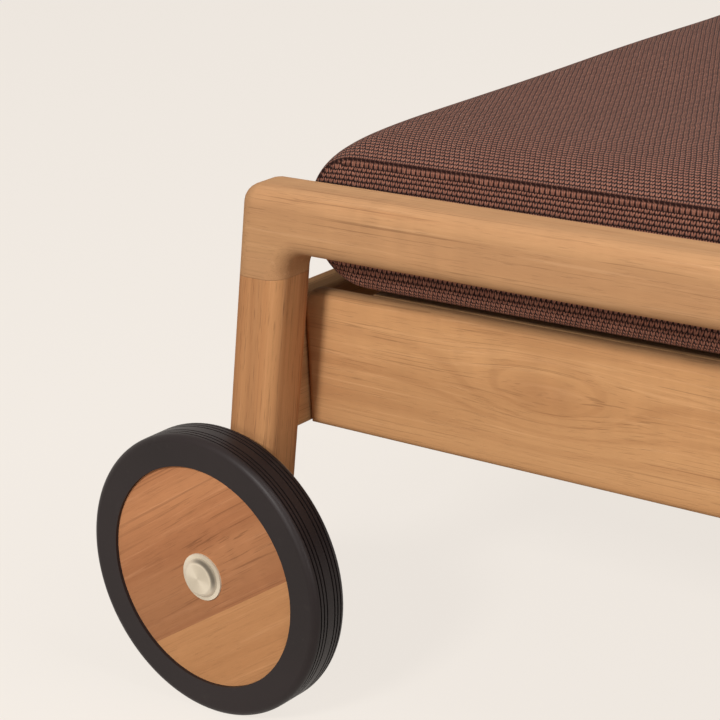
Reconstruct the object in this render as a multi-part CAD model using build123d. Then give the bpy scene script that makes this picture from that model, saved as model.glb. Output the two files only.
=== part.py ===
from build123d import *
import math
import os

# Double chaise lounger in teak, with two wheels, two reclining backs and two long cushions.
# All lengths are millimetres. +X runs from the head end, which has the wheels, to the foot end.
# +Y runs to the left of a person lying on it, and +Z is up. The origin is on the ground,
# under the middle of the whole. The right half is drawn, and the left half is its mirror image.

# Side frames: a top rail whose corner blocks turn down onto two splayed legs
frame_width = 1426.0
rail_length = 1860.0
rail_top = 365.0
rail_depth = 43.0
rail_thickness = 40.0
rail_edge_radius = 12.0
corner_outer_radius = 13.0
corner_inner_radius = 18.5
corner_block_drop = 18.0
leg_section = 38.0
leg_splay_share = 0.163
leg_below_axle = 34.0
leg_end_radius = 5.0
tenon_length = 20.0
tenon_thickness = 16.0
tenon_height = 34.0
tenon_clearance = 0.2

# Glides under the foot legs
glide_height = 4.0
glide_radius = 14.0
glide_stem_radius = 4.0
glide_stem_height = 20.0

# Wheels
tyre_radius = 100.0
tyre_width = 31.0
tyre_lip_height = 2.5
tyre_lip_inner_radius = 78.3
tyre_shoulder_radius = 5.0
tyre_groove_width = 1.1
tyre_groove_depth = 1.3
tyre_groove_pitch = 3.1
tyre_groove_first = 5.6
tyre_groove_count = 3
disk_radius = 82.0
disk_thickness = 26.0
plank_joint_drop = 26.4
plank_angle = 31.6
wheel_gap = 5.3
axle_radius = 6.0
axle_head_radius = 10.0
axle_head_height = 3.5
bush_radius = 9.0
running_clearance = 0.05
side_clearance = 0.3
spacer_radius = 12.0
washer_radius = 13.0
washer_thickness = 2.0
nut_across_flats = 18.0
nut_thickness = 9.0
nut_end_overhang = 2.0

# Hub caps
cap_radius = 16.5
cap_height = 5.5
cap_rim_height = 1.4
cap_flat_radius = 10.5
cap_shoulder_radius = 13.6
cap_skirt_radius = 13.0
cap_skirt_wall = 1.5
cap_skirt_depth = 5.0
cap_pocket_depth = 7.0

# Box frame between the side frames: two aprons, two cross rails and a centre beam
cross_rail_thickness = 28.0
cross_rail_overhang = 3.0
cross_rail_bottom = 185.8
cross_rail_height = 89.2
cross_rail_edge_radius = 5.0
apron_inset = 15.0
apron_thickness = 28.0
apron_height = 96.7
apron_corner_radius = 14.0
apron_edge_radius = 5.0
lip_thickness = 8.0
beam_rib = 8.0
bolt_radius = 4.0
bolt_in_leg = 25.0
bolt_in_rail = 73.0
bolt_low_rise = 12.0
bolt_high_rise = 56.0
barrel_nut_radius = 7.0
barrel_nut_length = 20.0
barrel_nut_setback = 63.0
dowel_radius = 5.0
dowel_in_rail = 20.0
dowel_in_board = 30.0
dowel_low_rise = 27.0
dowel_high_rise = 42.0

# Slatted panels: the two seats are fixed and the two backs are hinged
panel_thickness = 30.0
panel_side_clearance = 2.0
rest_clearance = 0.3
stile_width = 40.0
stile_shoulder = 20.0
slat_thickness = 15.0
slat_width = 50.0
slat_gap_wanted = 13.0
panel_rail_width = 40.0
back_end_gap = 53.0
back_length = 742.0
screw_radius = 2.0
screw_head_radius = 4.0
screw_head_height = 2.5
screw_length = 25.0

# Back hinges
hinge_drop = 14.5
hinge_half_gap = 10.0
hinge_rail_thickness = 28.0
hinge_leaf_thickness = 3.0
hinge_leaf_height = 24.0
hinge_leaf_top_drop = 3.0
hinge_length = 60.0
hinge_inset = 110.0
knuckle_radius = 6.0
knuckle_gap = 0.5
knuckle_share = 0.4
hinge_web_height = 6.0
pin_radius = 3.0

# Props that hold the backs up, and their notched racks
prop_pivot_reach = 200.0
prop_pivot_drop = 28.0
prop_length = 231.0
prop_foot_drop = 42.0
prop_arm_width = 18.0
prop_arm_thickness = 4.0
prop_bracket_thickness = 3.0
prop_bracket_width = 34.0
prop_bracket_below = 10.0
prop_bracket_cover = 22.0
prop_arm_gap = 0.5
prop_pin_radius = 4.0
prop_pin_head_radius = 6.5
prop_pin_head_height = 2.0
foot_bar_radius = 5.0
foot_bar_end_gap = 4.0
rack_thickness = 18.0
rack_height = 18.0
rack_end_margin = 22.0
rack_tip_clearance = 1.6
notch_clearance = 0.5
back_travel = 60.0
prop_ratio = 2.0
back_settings = 5

# Cushions
pad_side_gap = 5.0
pad_end_gap = 17.5
pad_middle_gap = 4.0
pad_seam_height = 95.7
pad_height = 110.2
pad_nose_radius = 49.0
pad_seam_nose_radius = 36.0
pad_base_radius = 38.0
pad_end_swell = 4.0
pad_draw_in = 4.0
pad_lower_roll = 12.0
pad_belly_rise = 8.0
pad_belly_reach = 50.0
pad_crown_reach = 20.0
pad_level_shares = (0, 0.02, 0.1, 0.25, 0.45, 0.7, 1.1, 1.7, 2.7, 4.5)
fold_angle = 31.0
fold_half_gap = 3.0
fold_clearance = 0.3

# Overrun of a cutting shape past what it cuts
overrun = 1.0

# Places worked out from the sizes above
head_setback = leg_splay_share * (rail_top - tyre_radius) - leg_section / 2
foot_reach = leg_splay_share * (rail_top - glide_height)
overall_length = tyre_radius + head_setback + rail_length + foot_reach
axle_x = tyre_radius - overall_length / 2
rail_mid_x = axle_x + head_setback + rail_length / 2
rail_bottom = rail_top - rail_depth
glue_z = rail_bottom - corner_block_drop
side_out_y = -frame_width / 2
side_mid_y = side_out_y + rail_thickness / 2
side_in_y = side_out_y + rail_thickness
disk_face_y = side_out_y - wheel_gap - tyre_width + tyre_lip_height

head_rail_out_x = axle_x - cross_rail_overhang
head_rail_mid_x = head_rail_out_x + cross_rail_thickness / 2
head_rail_in_x = head_rail_out_x + cross_rail_thickness
foot_rail_in_x = 2 * rail_mid_x - head_rail_in_x
cross_rail_top = cross_rail_bottom + cross_rail_height
seat_top = cross_rail_bottom + apron_height
rebate_z = seat_top - panel_thickness - rest_clearance
apron_out_y = side_in_y + apron_inset
apron_in_y = apron_out_y + apron_thickness
beam_half = beam_rib / 2 + apron_thickness - lip_thickness

panel_out_y = apron_out_y + lip_thickness + panel_side_clearance
panel_in_y = -beam_rib / 2 - panel_side_clearance
panel_bottom = seat_top - panel_thickness
back_head_x = head_rail_in_x + back_end_gap
hinge_x = back_head_x + back_length
hinge_z = seat_top - hinge_drop
back_foot_x = hinge_x - hinge_half_gap
hinge_rail_x = hinge_x + hinge_half_gap
seat_head_x = hinge_rail_x + hinge_rail_thickness

pivot_x = hinge_x - prop_pivot_reach
pivot_z = hinge_z - prop_pivot_drop
foot_z = hinge_z - prop_foot_drop
prop_rest_angle = math.degrees(math.asin((pivot_z - foot_z) / prop_length))

pad_bottom = seat_top + rest_clearance
pad_seam_z = pad_bottom + pad_seam_height
pad_top = pad_bottom + pad_height
pad_head_x = head_rail_in_x + pad_end_gap
pad_foot_x = foot_rail_in_x - pad_end_gap
pad_out_y = side_in_y + pad_side_gap
pad_in_y = -pad_middle_gap


def block(x_low, x_high, y_low, y_high, z_low, z_high):
    """Box between two corners."""
    place = Pos((x_low + x_high) / 2, (y_low + y_high) / 2, (z_low + z_high) / 2)
    return place * Box(x_high - x_low, y_high - y_low, z_high - z_low)


def rod(x, y, z, direction, length, radius):
    """Cylinder that starts at a point and runs in a direction."""
    return Solid.make_cylinder(radius, length, Plane(origin=(x, y, z), z_dir=direction))


def upright_board(points, y_low, y_high, corners=None, radius=0):
    """Board with an outline drawn from the side. Its listed corners are rounded."""
    outline = make_face(Polyline([Vector(x, z) for x, z in points], close=True))
    if corners:
        chosen = [v for v in outline.vertices() for c in corners if (v.center() - Vector(*c)).length < overrun]
        outline = fillet(chosen, radius)
    return extrude(Plane(origin=(0, y_high, 0), z_dir=(0, -1, 0), x_dir=(1, 0, 0)) * outline, y_high - y_low)


def other_side(shape):
    """Mirror image across the middle of the width."""
    return mirror(shape, about=Plane.XZ)


def both_sides(shapes):
    """The shapes and their mirror images, as one list."""
    return list(shapes) + [other_side(s) for s in shapes]


def head_leg_x(z):
    """Middle of the head leg along the length, at a height."""
    return axle_x + leg_splay_share * (z - tyre_radius)


def foot_leg_x(z):
    """Middle of the foot leg along the length, at a height."""
    return 2 * rail_mid_x - head_leg_x(z)


def cross_rail_x(end):
    """Middle of a cross rail along the length."""
    return head_rail_mid_x if end == "head" else 2 * rail_mid_x - head_rail_mid_x


def bolt_heights():
    """Heights of the two bolts at each joint of a leg and a cross rail."""
    return [cross_rail_bottom + bolt_low_rise, cross_rail_bottom + bolt_high_rise]


def dowel_heights():
    """Heights of the two dowels at each joint of the box frame."""
    return [cross_rail_bottom + dowel_low_rise, cross_rail_bottom + dowel_high_rise]


def leg_tenon(leg_x, clearance):
    """Tenon of a leg, or with a clearance the mortise for it."""
    half_x = tenon_length / 2 + clearance
    half_y = tenon_thickness / 2 + clearance
    x = leg_x(glue_z + tenon_height / 2)
    return block(x - half_x, x + half_x, side_mid_y - half_y, side_mid_y + half_y,
                 glue_z - overrun, glue_z + tenon_height + clearance)


def side_rail():
    """Top rail with its two corner blocks, rounded along every long edge."""
    half = leg_section / 2
    outer = [(head_leg_x(glue_z) - half, glue_z), (head_leg_x(rail_top) - half, rail_top),
             (foot_leg_x(rail_top) + half, rail_top), (foot_leg_x(glue_z) + half, glue_z)]
    inner = [(foot_leg_x(glue_z) - half, glue_z), (foot_leg_x(rail_bottom) - half, rail_bottom),
             (head_leg_x(rail_bottom) + half, rail_bottom), (head_leg_x(glue_z) + half, glue_z)]
    outline = make_face(Polyline([Vector(x, z) for x, z in outer + inner], close=True))
    high = outline.vertices().filter_by_position(Axis.Y, rail_top - overrun, rail_top + overrun)
    outline = fillet(high, corner_outer_radius)
    low = outline.vertices().filter_by_position(Axis.Y, rail_bottom - overrun, rail_bottom + overrun)
    low = [v for v in low if abs(v.X - rail_mid_x) < rail_length / 2 - half]
    outline = fillet(low, corner_inner_radius)
    plane = Plane(origin=(0, side_in_y, 0), z_dir=(0, -1, 0), x_dir=(1, 0, 0))
    solid = extrude(plane * outline, rail_thickness)
    long_edges = [e for e in solid.edges()
                  if abs(e.tangent_at(0).Y) < 1 / 2 and e.center().Z > glue_z + overrun / 2]
    solid = fillet(long_edges, rail_edge_radius)
    for leg_x in (head_leg_x, foot_leg_x):
        solid -= leg_tenon(leg_x, tenon_clearance)
    return solid


def leg(leg_x, z_low):
    """Splayed leg from a height up to the glue line, with its tenon."""
    run = Vector(leg_x(glue_z) - leg_x(z_low), 0, glue_z - z_low)
    section = RectangleRounded(leg_section, rail_thickness, rail_edge_radius)
    solid = extrude(Pos(leg_x(z_low), side_mid_y, z_low) * section, amount=run.length, dir=run.normalized())
    foot = solid.faces().sort_by(Axis.Z)[0]
    solid = fillet(foot.edges(), leg_end_radius)
    return solid + leg_tenon(leg_x, 0)


def leg_bolt_holes(end):
    """Holes in a leg for the bolts that hold a cross rail to it."""
    x = cross_rail_x(end)
    return [rod(x, side_in_y - bolt_in_leg, z, (0, 1, 0), bolt_in_leg + overrun, bolt_radius)
            for z in bolt_heights()]


def head_leg():
    """Leg that carries a wheel."""
    solid = leg(head_leg_x, tyre_radius - leg_below_axle)
    solid -= rod(axle_x, side_out_y - overrun, tyre_radius, (0, 1, 0),
                 rail_thickness + 2 * overrun, axle_radius)
    for hole in leg_bolt_holes("head"):
        solid -= hole
    return solid


def foot_leg():
    """Leg that stands on a glide."""
    solid = leg(foot_leg_x, glide_height)
    for hole in leg_bolt_holes("foot"):
        solid -= hole
    stem_x = foot_leg_x(glide_height)
    return solid - rod(stem_x, side_mid_y, 0, (0, 0, 1), glide_height + glide_stem_height, glide_stem_radius)


def foot_glide():
    """Plastic glide with its stem up in the leg."""
    x = foot_leg_x(glide_height)
    pad = fillet(rod(x, side_mid_y, 0, (0, 0, 1), glide_height, glide_radius).edges().group_by(Axis.Z)[0],
                 glide_height / 4)
    return pad + rod(x, side_mid_y, 0, (0, 0, 1), glide_height + glide_stem_height, glide_stem_radius)


def joint_bolts():
    """Bolts from the legs into the cross rails."""
    bolts = []
    for end in ("head", "foot"):
        for z in bolt_heights():
            bolts.append(rod(cross_rail_x(end), side_in_y - bolt_in_leg, z, (0, 1, 0),
                             bolt_in_leg + bolt_in_rail, bolt_radius))
    return bolts


def barrel_nut(end, z, length=barrel_nut_length):
    """Barrel nut in a cross rail, open to the rail's inner face."""
    inward = 1 if end == "head" else -1
    face_x = cross_rail_x(end) + inward * cross_rail_thickness / 2
    return rod(face_x, side_in_y + barrel_nut_setback, z, (-inward, 0, 0), length, barrel_nut_radius)


def barrel_nuts():
    """Barrel nuts, with the bolts' holes through them."""
    return [barrel_nut(end, z) - rod(cross_rail_x(end), side_in_y, z, (0, 1, 0),
                                     2 * barrel_nut_setback, bolt_radius)
            for end in ("head", "foot") for z in bolt_heights()]


def end_dowels(y, end):
    """Dowels along the length, from a board's end into a cross rail."""
    inward = 1 if end == "head" else -1
    start_x = cross_rail_x(end) + inward * (cross_rail_thickness / 2 - dowel_in_rail)
    return [rod(start_x, y, z, (inward, 0, 0), dowel_in_rail + dowel_in_board, dowel_radius)
            for z in dowel_heights()]


def side_dowels(y):
    """Dowels across the width, from a hinge rail's end into an apron or the beam."""
    x = hinge_rail_x + hinge_rail_thickness / 2
    return [rod(x, y - dowel_in_rail, z, (0, 1, 0), 2 * dowel_in_rail, dowel_radius)
            for z in dowel_heights()]


def apron_dowel_y():
    """Middle of an apron's thickness."""
    return (apron_out_y + apron_in_y) / 2


def frame_dowels():
    """All dowels of the box frame, those of the middle once."""
    dowels = []
    for end in ("head", "foot"):
        dowels += both_sides(end_dowels(apron_dowel_y(), end)) + end_dowels(0, end)
    return dowels + both_sides(side_dowels(apron_in_y) + side_dowels(-beam_half))


def cross_rail(end, dowels):
    """Rail across the whole width between the legs."""
    x = cross_rail_x(end)
    half = cross_rail_thickness / 2
    solid = block(x - half, x + half, side_in_y, -side_in_y, cross_rail_bottom, cross_rail_top)
    solid = fillet(solid.edges().filter_by(Axis.Y), cross_rail_edge_radius)
    cuts = [rod(x, side_in_y - overrun, z, (0, 1, 0), bolt_in_rail + overrun, bolt_radius)
            for z in bolt_heights()]
    cuts += [barrel_nut(end, z) for z in bolt_heights()]
    for cut in both_sides(cuts) + dowels:
        solid -= cut
    return solid


def apron(dowels):
    """Side board with a rebate along its inner top edge, which carries the slatted panels."""
    ends = [(head_rail_in_x, cross_rail_bottom), (foot_rail_in_x, cross_rail_bottom),
            (foot_rail_in_x, seat_top), (head_rail_in_x, seat_top)]
    solid = upright_board(ends, apron_out_y, apron_in_y, ends[2:], apron_corner_radius)
    outer = [e for e in solid.edges() if abs(e.center().Y - apron_out_y) < overrun / 2]
    solid = fillet(outer, apron_edge_radius)
    solid -= block(head_rail_in_x - overrun, foot_rail_in_x + overrun, apron_out_y + lip_thickness,
                   apron_in_y + overrun, rebate_z, seat_top + overrun)
    for dowel in dowels:
        solid -= dowel
    return solid


def centre_beam(dowels):
    """Beam along the middle, with a rib between the right and left panels."""
    solid = block(head_rail_in_x, foot_rail_in_x, -beam_half, beam_half, cross_rail_bottom, rebate_z)
    solid += block(head_rail_in_x, foot_rail_in_x, -beam_rib / 2, beam_rib / 2, rebate_z, seat_top)
    for dowel in dowels:
        solid -= dowel
    return solid


def hinge_rail(dowels):
    """Rail across one half, which carries the fixed leaves of the back hinges."""
    solid = block(hinge_rail_x, seat_head_x, apron_in_y, -beam_half, cross_rail_bottom, seat_top)
    for dowel in dowels:
        solid -= dowel
    return solid


def slat_places(x_low, x_high):
    """Middles of evenly spaced slats between two ends."""
    count = max(1, round((x_high - x_low - slat_gap_wanted) / (slat_width + slat_gap_wanted)))
    pitch = (x_high - x_low) / count
    return [x_low + pitch * (i + 1 / 2) for i in range(count)]


def screw_ys():
    """Places across the width of the screws at a slat's two ends."""
    return [panel_out_y + (stile_shoulder + stile_width) / 2, panel_in_y - (stile_shoulder + stile_width) / 2]


def slat_screw(x, y):
    """Countersunk screw with its head flush with the slat's top."""
    shank = rod(x, y, seat_top - screw_length, (0, 0, 1), screw_length, screw_radius)
    head_z = seat_top - screw_head_height / 2
    head = Pos(x, y, head_z) * Cone(screw_radius, screw_head_radius, screw_head_height)
    return shank + head


def panel_screws(places):
    """All screws of one slatted panel."""
    return [slat_screw(x, y) for x in places for y in screw_ys()]


def slats(places):
    """Slats of one panel, with their screw holes."""
    boards = []
    for x in places:
        board = block(x - slat_width / 2, x + slat_width / 2, panel_out_y + stile_shoulder,
                      panel_in_y - stile_shoulder, seat_top - slat_thickness, seat_top)
        for y in screw_ys():
            board -= slat_screw(x, y)
        boards.append(board)
    return boards


def stiles(x_low, x_high, places):
    """Two long boards of a panel, each with a rebate for the slats."""
    boards = []
    for edge_y, inward in ((panel_out_y, 1), (panel_in_y, -1)):
        far_y = edge_y + inward * stile_width
        step_y = edge_y + inward * stile_shoulder
        board = block(x_low, x_high, min(edge_y, far_y), max(edge_y, far_y), panel_bottom, seat_top)
        board -= block(x_low - overrun, x_high + overrun, min(step_y, far_y + inward * overrun),
                       max(step_y, far_y + inward * overrun), seat_top - slat_thickness, seat_top + overrun)
        y = screw_ys()[0] if inward > 0 else screw_ys()[1]
        for x in places:
            board -= slat_screw(x, y)
        boards.append(board)
    return boards


def panel_rail(x_low, x_high):
    """End rail of a back panel, lapped over its stiles."""
    solid = block(x_low, x_high, panel_out_y + stile_width, panel_in_y - stile_width, panel_bottom, seat_top)
    return solid + block(x_low, x_high, panel_out_y + stile_shoulder, panel_in_y - stile_shoulder,
                         seat_top - slat_thickness, seat_top)


def hinge_ys():
    """Middles of the two hinges across one half."""
    return [panel_out_y + hinge_inset, panel_in_y - hinge_inset]


def hinge_leaf(y_mid, fixed):
    """Leaf with its knuckles. The moving leaf has the middle knuckle."""
    side = 1 if fixed else -1
    half = hinge_length / 2
    middle_half = hinge_length * knuckle_share / 2
    near_x = hinge_x + side * (hinge_half_gap - hinge_leaf_thickness)
    far_x = hinge_x + side * hinge_half_gap
    top = seat_top - hinge_leaf_top_drop
    solid = block(min(near_x, far_x), max(near_x, far_x), y_mid - half, y_mid + half,
                  top - hinge_leaf_height, top)
    if fixed:
        spans = [(y_mid - half, y_mid - middle_half - knuckle_gap),
                 (y_mid + middle_half + knuckle_gap, y_mid + half)]
        bore = pin_radius
    else:
        spans = [(y_mid - middle_half, y_mid + middle_half)]
        bore = pin_radius + running_clearance
    for y_low, y_high in spans:
        solid += rod(hinge_x, y_low, hinge_z, (0, 1, 0), y_high - y_low, knuckle_radius)
        solid += block(min(hinge_x, far_x), max(hinge_x, far_x), y_low, y_high,
                       hinge_z - hinge_web_height / 2, hinge_z + hinge_web_height / 2)
    return solid - rod(hinge_x, y_mid - half - overrun, hinge_z, (0, 1, 0), hinge_length + 2 * overrun, bore)


def hinge_pins():
    """Pins of the two hinges of one half."""
    return [rod(hinge_x, y - hinge_length / 2, hinge_z, (0, 1, 0), hinge_length, pin_radius)
            for y in hinge_ys()]


def prop_sides():
    """For each stile of a back: its inner face, and the way to the middle of the bay."""
    return [(panel_out_y + stile_width, 1), (panel_in_y - stile_width, -1)]


def prop_bracket(face_y, inward):
    """Plate on a stile's inner face, with the prop's pivot hole."""
    half = prop_bracket_width / 2
    far_y = face_y + inward * prop_bracket_thickness
    solid = block(pivot_x - half, pivot_x + half, min(face_y, far_y), max(face_y, far_y),
                  pivot_z - prop_bracket_below, pivot_z + prop_bracket_cover)
    upright = solid.edges().filter_by(Axis.Y).group_by(Axis.Z)[0]
    solid = fillet(upright, prop_bracket_below)
    return solid - rod(pivot_x, face_y - overrun * inward, pivot_z, (0, inward, 0),
                       prop_bracket_thickness + 2 * overrun, prop_pin_radius + running_clearance)


def prop_arm_start(face_y, inward):
    """Face of a prop arm that is nearer to its stile."""
    return face_y + inward * (prop_bracket_thickness + prop_arm_gap)


def prop_foot_x():
    """Foot bar along the length, with the back flat."""
    return pivot_x - prop_length * math.cos(math.radians(prop_rest_angle))


def prop_arm(face_y, inward):
    """Flat arm with rounded ends, drilled for its pin and welded to the foot bar."""
    start_y = prop_arm_start(face_y, inward)
    low_y = min(start_y, start_y + inward * prop_arm_thickness)
    tilt = Plane(origin=(pivot_x, low_y + prop_arm_thickness, pivot_z), z_dir=(0, -1, 0),
                 x_dir=(prop_foot_x() - pivot_x, 0, foot_z - pivot_z))
    outline = Pos(prop_length / 2, 0) * SlotCenterToCenter(prop_length, prop_arm_width)
    solid = extrude(tilt * outline, prop_arm_thickness)
    solid -= rod(pivot_x, low_y - overrun, pivot_z, (0, 1, 0),
                 prop_arm_thickness + 2 * overrun, prop_pin_radius)
    return solid - rod(prop_foot_x(), low_y - overrun, foot_z, (0, 1, 0),
                       prop_arm_thickness + 2 * overrun, foot_bar_radius)


def prop_pin(face_y, inward):
    """Pivot pin with a head outside the bracket and one inside the arm."""
    outer_y = face_y - inward * side_clearance
    inner_y = prop_arm_start(face_y, inward) + inward * prop_arm_thickness
    length = abs(inner_y - outer_y)
    solid = rod(pivot_x, outer_y, pivot_z, (0, inward, 0), length, prop_pin_radius)
    solid += rod(pivot_x, outer_y, pivot_z, (0, -inward, 0), prop_pin_head_height, prop_pin_head_radius)
    return solid + rod(pivot_x, inner_y, pivot_z, (0, inward, 0), prop_pin_head_height, prop_pin_head_radius)


def foot_bar():
    """Bar that drops into the racks' notches."""
    y_low = apron_in_y + foot_bar_end_gap
    y_high = -beam_half - foot_bar_end_gap
    return rod(prop_foot_x(), y_low, foot_z, (0, 1, 0), y_high - y_low, foot_bar_radius)


def foot_place(angle):
    """Foot bar's place along the length and height, with the back raised by an angle."""
    turn = math.radians(angle)
    lean = math.radians(prop_rest_angle + angle * (prop_ratio - 1))
    at_x = hinge_x - prop_pivot_reach * math.cos(turn) - prop_pivot_drop * math.sin(turn)
    at_z = hinge_z + prop_pivot_reach * math.sin(turn) - prop_pivot_drop * math.cos(turn)
    return at_x - prop_length * math.cos(lean), at_z - prop_length * math.sin(lean)


def prop_rack(face_y, inward):
    """Notched rack on the inner face of an apron or the beam, just under the foot bar's path."""
    lowest = min(foot_place(angle)[1] for angle in range(round(back_travel) + 1))
    top = lowest - foot_bar_radius - rack_tip_clearance
    settings = [foot_place(back_travel * (i + 1) / back_settings)[0] for i in range(back_settings)]
    far_y = face_y + inward * rack_thickness
    solid = block(min(settings) - rack_end_margin, max(settings) + rack_end_margin,
                  min(face_y, far_y), max(face_y, far_y), top - rack_height, top)
    for x in settings:
        solid -= rod(x, min(face_y, far_y) - overrun, top, (0, 1, 0), rack_thickness + 2 * overrun,
                     foot_bar_radius + notch_clearance)
    return solid


def on_axle(shape):
    """Places a shape drawn about the wheel's axis, whose +Z points out of the wheel's face."""
    return Pos(axle_x, disk_face_y, tyre_radius) * Rot(90, 0, 0) * shape


def turned(points, rounded=(), radius=0):
    """Solid turned about the wheel's axis from an outline of radius and height."""
    outline = make_face(Polyline([Vector(r, h) for r, h in points], close=True))
    if rounded:
        chosen = [v for v in outline.vertices()
                  for r, h in rounded if (v.center() - Vector(r, h)).length < overrun / 2]
        outline = fillet(chosen, radius)
    return revolve(Plane.XZ * outline, Axis.Z)


def tyre():
    """Tyre whose lips hold the wooden disk, with fine grooves near both shoulders."""
    front = tyre_lip_height
    rear = tyre_lip_height - tyre_width
    points = [(tyre_lip_inner_radius, front), (tyre_radius, front), (tyre_radius, rear),
              (tyre_lip_inner_radius, rear), (tyre_lip_inner_radius, -disk_thickness),
              (disk_radius, -disk_thickness), (disk_radius, 0), (tyre_lip_inner_radius, 0)]
    solid = turned(points, [points[1], points[2]], tyre_shoulder_radius)
    low_radius = tyre_radius - tyre_groove_depth
    half = tyre_groove_width / 2
    for i in range(tyre_groove_count):
        from_edge = tyre_groove_first + tyre_groove_pitch * i
        for middle in (front - from_edge, rear + from_edge):
            solid -= turned([(low_radius, middle - half), (tyre_radius + overrun, middle - half),
                             (tyre_radius + overrun, middle + half), (low_radius, middle + half)])
    return on_axle(solid)


def wheel_planks():
    """Wooden disk, glued up from two planks."""
    disk = Solid.make_cylinder(disk_radius, disk_thickness, Plane(origin=(0, 0, -disk_thickness)))
    bore_start = Plane(origin=(0, 0, -disk_thickness - overrun))
    pocket_floor = Plane(origin=(0, 0, -cap_pocket_depth))
    disk -= Solid.make_cylinder(bush_radius, disk_thickness + 2 * overrun, bore_start)
    disk -= Solid.make_cylinder(cap_skirt_radius, cap_pocket_depth + overrun, pocket_floor)
    reach = 2 * disk_radius
    lower = Rot(0, 0, plank_angle) * block(-reach, reach, -reach, -plank_joint_drop, -reach, reach)
    return [on_axle(disk & lower), on_axle(disk - lower)]


def hub_cap():
    """Turned cap with a flat middle, a rounded shoulder and a skirt in the disk's pocket."""
    middle_z = cap_height - (cap_height - cap_rim_height) / 4
    middle = Vector((cap_flat_radius + cap_shoulder_radius) / 2, middle_z)
    edge = [Line((0, cap_rim_height - cap_skirt_wall / 2), (0, cap_height)),
            Line((0, cap_height), (cap_flat_radius, cap_height)),
            ThreePointArc((cap_flat_radius, cap_height), middle, (cap_shoulder_radius, cap_rim_height)),
            Polyline((cap_shoulder_radius, cap_rim_height), (cap_radius, cap_rim_height), (cap_radius, 0),
                     (cap_skirt_radius, 0), (cap_skirt_radius, -cap_skirt_depth),
                     (cap_skirt_radius - cap_skirt_wall, -cap_skirt_depth),
                     (cap_skirt_radius - cap_skirt_wall, cap_rim_height - cap_skirt_wall / 2),
                     (0, cap_rim_height - cap_skirt_wall / 2))]
    return on_axle(revolve(Plane.XZ * make_face(edge), Axis.Z))


def wheel_bush():
    """Plain bush that turns on the axle."""
    length = disk_thickness + (tyre_width - tyre_lip_height - disk_thickness) - cap_pocket_depth
    tube = Solid.make_cylinder(bush_radius, length, Plane(origin=(0, 0, -cap_pocket_depth - length)))
    tube -= Solid.make_cylinder(axle_radius + running_clearance, length + 2 * overrun,
                                Plane(origin=(0, 0, -cap_pocket_depth - length - overrun)))
    return on_axle(tube)


def leg_face_depth():
    """Depth of the leg's outer face behind the disk's face."""
    return tyre_width - tyre_lip_height + wheel_gap


def axle():
    """Axle through the wheel and the leg, with a flat head under the hub cap."""
    head_back = -cap_pocket_depth + side_clearance
    end = -leg_face_depth() - rail_thickness - washer_thickness - nut_thickness - nut_end_overhang
    shaft = Solid.make_cylinder(axle_radius, head_back - end, Plane(origin=(0, 0, end)))
    head = Solid.make_cylinder(axle_head_radius, axle_head_height, Plane(origin=(0, 0, head_back)))
    return on_axle(shaft + head)


def wheel_spacer():
    """Spacer on the axle between the wheel and the leg."""
    depth = leg_face_depth()
    tube = Solid.make_cylinder(spacer_radius, wheel_gap - side_clearance, Plane(origin=(0, 0, -depth)))
    bore_start = Plane(origin=(0, 0, -depth - overrun))
    return on_axle(tube - Solid.make_cylinder(axle_radius, wheel_gap + 2 * overrun, bore_start))


def axle_fixings():
    """Washer and nut on the leg's inner face."""
    back = -leg_face_depth() - rail_thickness
    bore = Solid.make_cylinder(axle_radius, rail_thickness, Plane(origin=(0, 0, back - rail_thickness)))
    washer_start = Plane(origin=(0, 0, back - washer_thickness))
    washer = Solid.make_cylinder(washer_radius, washer_thickness, washer_start)
    nut_low = back - washer_thickness - nut_thickness
    hexagon = RegularPolygon(nut_across_flats / 2, 6, major_radius=False)
    nut = extrude(Pos(0, 0, nut_low) * hexagon, nut_thickness)
    return [on_axle(washer - bore), on_axle(nut - bore)]


def pad_swell(depth):
    """How far a cushion has swelled out to its full height, from 0 at its side panel to 1."""
    full = 1 - math.exp(-pad_level_shares[-1])
    return (1 - math.exp(-depth / pad_crown_reach)) / full


def pad_base(depth):
    """Height of a cushion's underside: it rolls in from the side panel, then sinks slowly to the slats."""
    belly = pad_belly_rise * math.exp(-depth / pad_belly_reach)
    last = pad_level_shares[-1] * pad_crown_reach
    belly -= pad_belly_rise * math.exp(-last / pad_belly_reach) * depth / last
    inside = max(0, pad_lower_roll - depth)
    return pad_bottom + belly + pad_lower_roll - math.sqrt(pad_lower_roll ** 2 - inside ** 2)


def rounded_face(corners, y):
    """Upright face across Y. Each corner has its x, its z, the two ways into the face and its radius."""
    rounds = []
    for number, (x, z, in_x, in_z, radius) in enumerate(corners):
        cut = radius * (1 - math.sqrt(1 / 2))
        ends = [(x + in_x * radius, y, z), (x, y, z + in_z * radius)]
        if number % 2:
            ends.reverse()
        rounds.append((ends[0], (x + in_x * cut, y, z + in_z * cut), ends[1]))
    edges = []
    for points, following in zip(rounds, rounds[1:] + rounds[:1]):
        edges.append(ThreePointArc(*points))
        edges.append(Line(points[-1], following[0]))
    return make_face(edges)


def pad_section(depth, y):
    """Outline of a cushion seen from its side, at a depth in from its side panel."""
    swell = pad_swell(depth)
    x_low = pad_head_x + (1 - swell) * pad_end_swell
    x_high = pad_foot_x - (1 - swell) * pad_end_swell
    z_low = pad_base(depth)
    z_high = pad_seam_z + swell * (pad_top - pad_seam_z)
    nose = pad_seam_nose_radius + swell * (pad_nose_radius - pad_seam_nose_radius)
    corners = [(x_high, z_low, -1, 1, pad_base_radius), (x_high, z_high, -1, -1, nose),
               (x_low, z_high, 1, -1, nose), (x_low, z_low, 1, 1, pad_base_radius)]
    return rounded_face(corners, y)


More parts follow.
